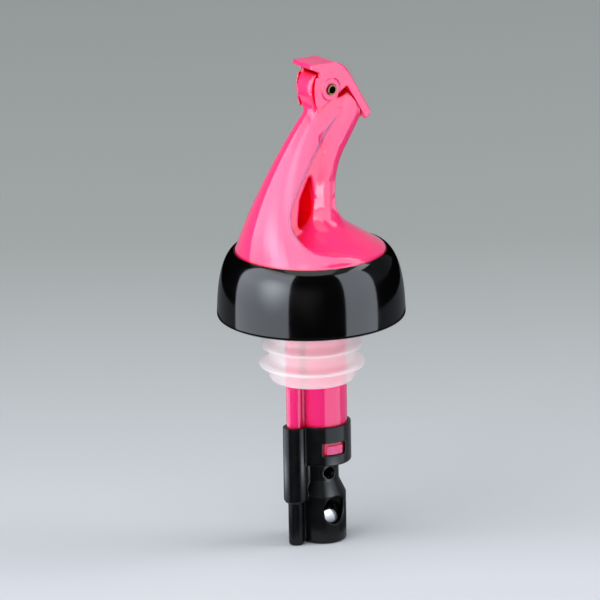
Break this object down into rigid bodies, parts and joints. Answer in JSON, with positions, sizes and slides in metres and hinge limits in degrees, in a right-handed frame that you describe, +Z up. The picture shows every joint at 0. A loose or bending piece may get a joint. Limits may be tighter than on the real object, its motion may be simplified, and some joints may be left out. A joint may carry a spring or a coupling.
{
  "type": "measured liquor pourer",
  "caption": "Bottle pourer that stops by itself after one measure: finned stopper, bell collar, leaning spout with a gravity flap, and a twin stem ending in a ball cage.",
  "frame": {"origin": "on the bottle axis, level with the foot of the metering cage that the part stands on", "axes": "+Z up the bottle axis to the spout, +X the way the spout leans, Y along the hinge pin"},
  "size_m": [0.044, 0.044, 0.1166],
  "materials": {
    "pink_gloss": "gloss moulded, bright pink",
    "black_gloss": "high gloss moulded, black",
    "black_satin": "satin moulded, black",
    "milky_rubber": "soft, milky, lets light through",
    "ball_steel": "polished stainless steel",
    "pin_steel": "rolled steel, warm tint"
  },
  "bodies": {
    "root": {"metering_cage": "black_satin", "stem": "pink_gloss", "stopper": "milky_rubber", "collar": "black_gloss", "spout_head": "pink_gloss"},
    "flap": {"flap": "pink_gloss", "hinge_pin": "pin_steel"},
    "measuring_ball": {"measuring_ball": "ball_steel"},
    "drain_ball": {"drain_ball": "ball_steel"},
    "vent_ball": {"vent_ball": "ball_steel"}
  },
  "joints": [
    {"name": "flap_hinge", "type": "hinge", "parent": "root", "child": "flap", "pos_m": [0.00385, 0, 0.10985], "axis": [0, -1, 0], "range_deg": [0, 60]},
    {"name": "measuring_slide", "type": "slide", "parent": "root", "child": "measuring_ball", "axis": [0, 0, 1], "range_m": [0, 0.0497]},
    {"name": "drain_slide", "type": "slide", "parent": "root", "child": "drain_ball", "axis": [0, 0, 1], "range_m": [0, 0.0055]},
    {"name": "vent_slide", "type": "slide", "parent": "root", "child": "vent_ball", "axis": [0, 0, 1], "range_m": [0, 0.0061]}
  ]
}
